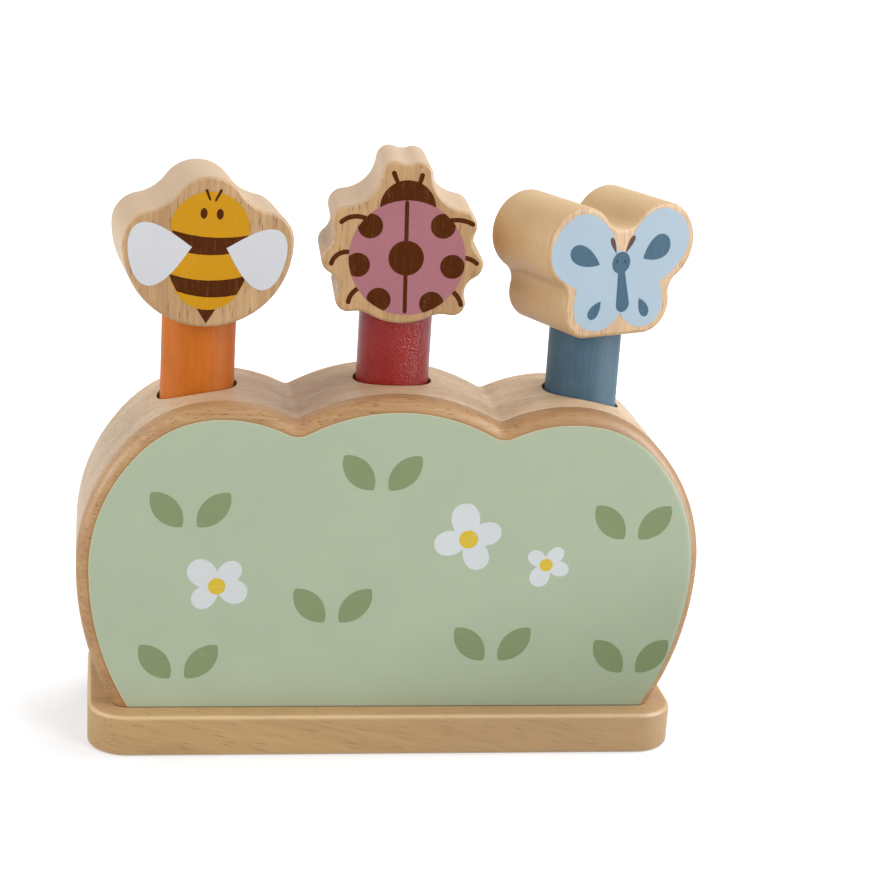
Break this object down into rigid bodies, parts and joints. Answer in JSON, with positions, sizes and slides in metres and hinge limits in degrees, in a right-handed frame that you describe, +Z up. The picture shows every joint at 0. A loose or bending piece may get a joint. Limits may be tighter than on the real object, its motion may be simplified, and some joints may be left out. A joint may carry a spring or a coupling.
{
  "type": "pop up animal toy",
  "caption": "Wooden pop-up toy: a lobed block on a base plank holds round sprung pegs with animal heads that can be pressed down, turned and pulled out.",
  "frame": {"origin": "middle of the base plank's underside, on the surface that the toy stands on", "axes": "+Z up, +X along the base plank with the butterfly at +X, -Y is the printed front"},
  "size_m": [0.2044, 0.068, 0.1933],
  "materials": {
    "beech_plank": "clear matt lacquer, fine flecked grain along the plank",
    "beech_block": "clear matt lacquer, pale end grain on top",
    "printed_panel": "clear matt lacquer, sage-green print on the front face",
    "zinc_steel": "zinc plated",
    "spring_steel": "drawn wire",
    "cap_wood": "plain sanded wood",
    "bee_dowel_paint": "satin orange paint over fine grain",
    "ladybird_dowel_paint": "satin red paint over fine grain",
    "butterfly_dowel_paint": "satin blue paint over fine grain",
    "head_wood": "clear satin lacquer, upright grain, printed front"
  },
  "bodies": {
    "root": {"base_plank": "beech_plank", "body_block": "beech_block", "front_panel": "printed_panel", "base_screws": "zinc_steel"},
    "bee_spring_seat": {"bee_spring": "spring_steel"},
    "bee_cap": {"bee_spring_cap": "cap_wood"},
    "bee_peg": {"bee_dowel": "bee_dowel_paint", "bee_head": "head_wood"},
    "ladybird_spring_seat": {"ladybird_spring": "spring_steel"},
    "ladybird_cap": {"ladybird_spring_cap": "cap_wood"},
    "ladybird_peg": {"ladybird_dowel": "ladybird_dowel_paint", "ladybird_head": "head_wood"},
    "butterfly_spring_seat": {"butterfly_spring": "spring_steel"},
    "butterfly_cap": {"butterfly_spring_cap": "cap_wood"},
    "butterfly_peg": {"butterfly_dowel": "butterfly_dowel_paint", "butterfly_head": "head_wood"}
  },
  "joints": [
    {"name": "bee_spin", "type": "hinge", "parent": "root", "child": "bee_spring_seat", "pos_m": [-0.064, 0.004, 0.0113], "axis": [0, 0, 1], "continuous": true},
    {"name": "bee_press", "type": "slide", "parent": "bee_spring_seat", "child": "bee_cap", "axis": [0, 0, 1], "range_m": [-0.0205, 0], "stiffness_N_per_m": 300, "springref_m": 0.02, "deforming": ["bee_spring"]},
    {"name": "bee_lift", "type": "slide", "parent": "bee_cap", "child": "bee_peg", "axis": [0, 0, 1], "range_m": [0, 0.08]},
    {"name": "ladybird_spin", "type": "hinge", "parent": "root", "child": "ladybird_spring_seat", "pos_m": [0, 0.004, 0.0113], "axis": [0, 0, 1], "continuous": true},
    {"name": "ladybird_press", "type": "slide", "parent": "ladybird_spring_seat", "child": "ladybird_cap", "axis": [0, 0, 1], "range_m": [-0.0205, 0], "stiffness_N_per_m": 300, "springref_m": 0.02, "deforming": ["ladybird_spring"]},
    {"name": "ladybird_lift", "type": "slide", "parent": "ladybird_cap", "child": "ladybird_peg", "axis": [0, 0, 1], "range_m": [0, 0.08]},
    {"name": "butterfly_spin", "type": "hinge", "parent": "root", "child": "butterfly_spring_seat", "pos_m": [0.064, 0.004, 0.0113], "axis": [0, 0, 1], "continuous": true},
    {"name": "butterfly_press", "type": "slide", "parent": "butterfly_spring_seat", "child": "butterfly_cap", "axis": [0, 0, 1], "range_m": [-0.0205, 0], "stiffness_N_per_m": 300, "springref_m": 0.02, "deforming": ["butterfly_spring"]},
    {"name": "butterfly_lift", "type": "slide", "parent": "butterfly_cap", "child": "butterfly_peg", "axis": [0, 0, 1], "range_m": [0, 0.08]}
  ]
}
